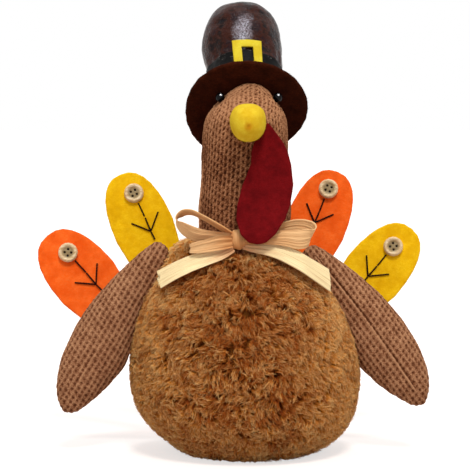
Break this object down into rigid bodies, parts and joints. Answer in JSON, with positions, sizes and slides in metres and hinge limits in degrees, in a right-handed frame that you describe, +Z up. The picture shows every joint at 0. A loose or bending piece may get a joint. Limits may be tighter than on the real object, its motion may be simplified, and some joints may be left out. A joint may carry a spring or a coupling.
{
  "type": "thanksgiving_turkey_figure",
  "caption": "Stuffed turkey shelf figure with fur body, knitted neck and wings, felt tail feathers, raffia bow and buckled hat.",
  "frame": {"origin": "centre of the base panel's bottom face", "axes": "+Z up, -Y is the front, +X is to the right seen from the front"},
  "size_m": [0.232, 0.1372, 0.2607],
  "materials": {
    "fur": "caramel sherpa fur fabric with a short curly pile",
    "knit": "brown waffle knit",
    "felt_orange": "orange craft felt",
    "felt_yellow": "golden yellow craft felt",
    "felt_lemon": "lemon yellow felt, the beak rubbed orange at its tip",
    "felt_red": "dark red felt",
    "felt_brown": "dark brown felt",
    "hat_leather": "distressed dark brown imitation leather with a soft shine",
    "satin": "black satin ribbon",
    "raffia": "cream paper raffia ribbon",
    "bead": "glossy black",
    "button_wood": "pale turned wood, lightly varnished",
    "thread": "dark brown stitching thread",
    "filling": "white polyester filling",
    "pellets": "bag of plastic pellets",
    "board": "stiff board panel"
  },
  "bodies": {
    "figure": {"base_panel": "board", "pellet_bag": "pellets", "body_cover": "fur", "body_stuffing": "filling", "neck_cover": "knit", "neck_stuffing": "filling", "eye_left": "bead", "eye_right": "bead", "eye_washer_left": "bead", "eye_washer_right": "bead", "beak_cover": "felt_lemon", "beak_stuffing": "filling", "brim": "felt_brown", "crown_cover": "hat_leather", "crown_stuffing": "filling", "hat_band": "satin", "buckle": "felt_lemon", "neck_tie": "raffia", "bow_knot": "raffia", "bow_loop_left_upper": "raffia", "bow_loop_left_lower": "raffia", "bow_loop_right": "raffia", "bow_tail_left": "raffia", "bow_tail_right": "raffia"},
    "wing_left": {"wing_cover_left": "knit", "wing_stuffing_left": "filling"},
    "wing_right": {"wing_cover_right": "knit", "wing_stuffing_right": "filling"},
    "wattle_flap": {"wattle": "felt_red"},
    "tail_left_outer": {"feather_left_outer": "felt_orange", "button_left_outer": "button_wood", "vein_left_outer": "thread"},
    "tail_left_inner": {"feather_left_inner": "felt_yellow", "button_left_inner": "button_wood", "vein_left_inner": "thread"},
    "tail_right_inner": {"feather_right_inner": "felt_orange", "button_right_inner": "button_wood", "vein_right_inner": "thread"},
    "tail_right_outer": {"feather_right_outer": "felt_yellow", "button_right_outer": "button_wood", "vein_right_outer": "thread"}
  },
  "joints": [
    {"name": "wing_left_lift", "type": "hinge", "parent": "figure", "child": "wing_left", "pos_m": [-0.0446, -0.004, 0.116], "axis": [0, 1, 0], "range_deg": [0, 70]},
    {"name": "wing_right_lift", "type": "hinge", "parent": "figure", "child": "wing_right", "pos_m": [0.0332, -0.004, 0.1152], "axis": [0, -1, 0], "range_deg": [0, 70]},
    {"name": "wattle_swing", "type": "hinge", "parent": "figure", "child": "wattle_flap", "pos_m": [0.0102, -0.0268, 0.1836], "axis": [-0.525, 0, -0.8511], "range_deg": [0, 55]},
    {"name": "feather_left_outer_flex", "type": "hinge", "parent": "figure", "child": "tail_left_outer", "pos_m": [-0.04765, 0.04436, 0.04142], "axis": [-0.749, -0.1378, -0.6481], "range_deg": [-8, 30], "stiffness_Nm_per_rad": 0.05},
    {"name": "feather_left_inner_flex", "type": "hinge", "parent": "figure", "child": "tail_left_inner", "pos_m": [-0.02835, 0.04876, 0.05344], "axis": [-0.9135, -0.0846, -0.3978], "range_deg": [-8, 30], "stiffness_Nm_per_rad": 0.05},
    {"name": "feather_right_inner_flex", "type": "hinge", "parent": "figure", "child": "tail_right_inner", "pos_m": [0.01229, 0.05047, 0.05381], "axis": [-0.9239, 0.0796, 0.3743], "range_deg": [-8, 30], "stiffness_Nm_per_rad": 0.05},
    {"name": "feather_right_outer_flex", "type": "hinge", "parent": "figure", "child": "tail_right_outer", "pos_m": [0.03041, 0.04845, 0.04335], "axis": [-0.7604, 0.135, 0.6353], "range_deg": [-8, 30], "stiffness_Nm_per_rad": 0.05}
  ]
}
